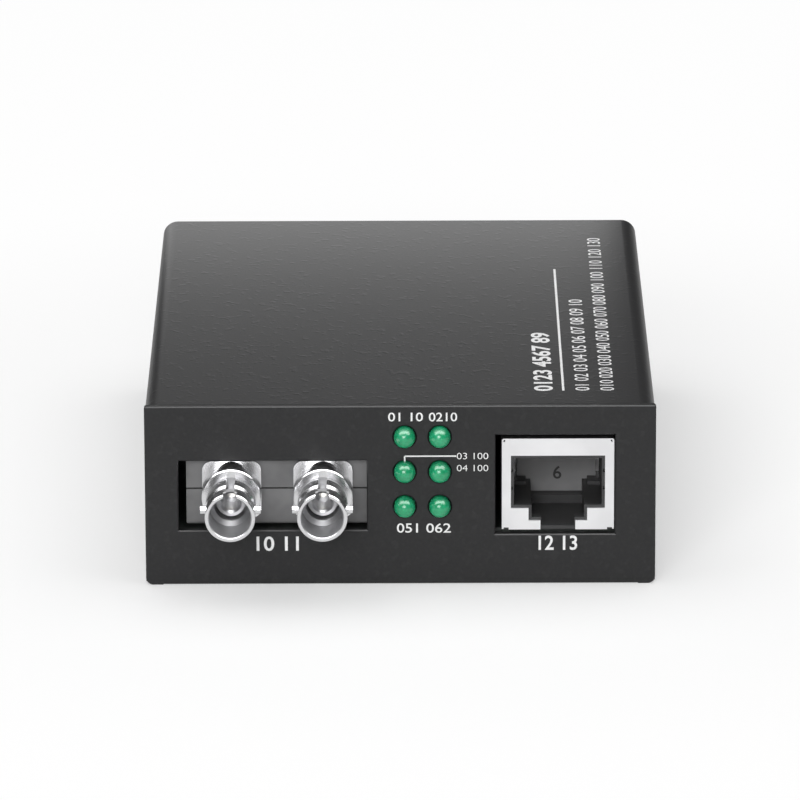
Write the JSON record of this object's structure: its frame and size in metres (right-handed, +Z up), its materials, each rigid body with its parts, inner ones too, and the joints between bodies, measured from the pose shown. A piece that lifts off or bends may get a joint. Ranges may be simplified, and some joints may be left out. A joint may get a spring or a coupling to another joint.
{
  "type": "fibre media converter",
  "caption": "Small black folded-steel box with two bayonet fibre ports, a shielded copper network socket and green indicator lamps in front, and a power inlet behind.",
  "frame": {"origin": "middle of the flat underside of the case, between the front and rear panels", "axes": "+X to the right seen from the front, +Y from the front panel to the rear, +Z up"},
  "size_m": [0.071, 0.1055, 0.026],
  "materials": {
    "case_coat": "fine-textured black powder coat",
    "black_screw": "black-plated steel",
    "circuit_board": "black solder mask",
    "standoff_metal": "nickel-plated brass",
    "screw_steel": "zinc-plated steel",
    "module_plastic": "fine-eroded dark moulding",
    "port_nickel": "turned brass with bright nickel plate",
    "sleeve_metal": "ground steel",
    "can_metal": "drawn nickel can",
    "tinned_lead": "tinned wire",
    "lamp_green": "tinted clear moulding",
    "holder_plastic": "black moulding",
    "shield_nickel": "bright nickel-plated sheet",
    "insulator_plastic": "dark moulding",
    "contact_gold": "gold-plated spring wire",
    "inlet_plastic": "black moulding",
    "inlet_metal": "nickel-plated pin",
    "chip_plastic": "moulded package with tinned leads",
    "capacitor_metal": "aluminium can",
    "ferrite": "sintered ferrite"
  },
  "bodies": {
    "root": {"base_tray": "case_coat", "top_cover": "case_coat", "cover_screws": "black_screw", "main_board": "circuit_board", "transceiver_board": "circuit_board", "board_standoffs": "standoff_metal", "board_screws": "screw_steel", "transceiver_base": "module_plastic", "transceiver_cover": "module_plastic", "transmit_port": "port_nickel", "receive_port": "port_nickel", "transmit_sleeve": "sleeve_metal", "receive_sleeve": "sleeve_metal", "laser_can": "can_metal", "detector_can": "can_metal", "crystal": "can_metal", "transceiver_pins": "tinned_lead", "lamp_leads": "tinned_lead", "inlet_blades": "tinned_lead", "lamp_1": "lamp_green", "lamp_2": "lamp_green", "lamp_3": "lamp_green", "lamp_4": "lamp_green", "lamp_5": "lamp_green", "lamp_6": "lamp_green", "lamp_holder": "holder_plastic", "jack_shield": "shield_nickel", "jack_housing": "insulator_plastic", "contact_carrier": "insulator_plastic", "jack_contacts": "contact_gold", "inlet_housing": "inlet_plastic", "inlet_pin": "inlet_metal", "converter_chip": "chip_plastic", "memory_chip": "chip_plastic", "regulator": "chip_plastic", "line_transformer": "chip_plastic", "capacitors": "capacitor_metal", "power_inductor": "ferrite"}
  },
  "joints": []
}
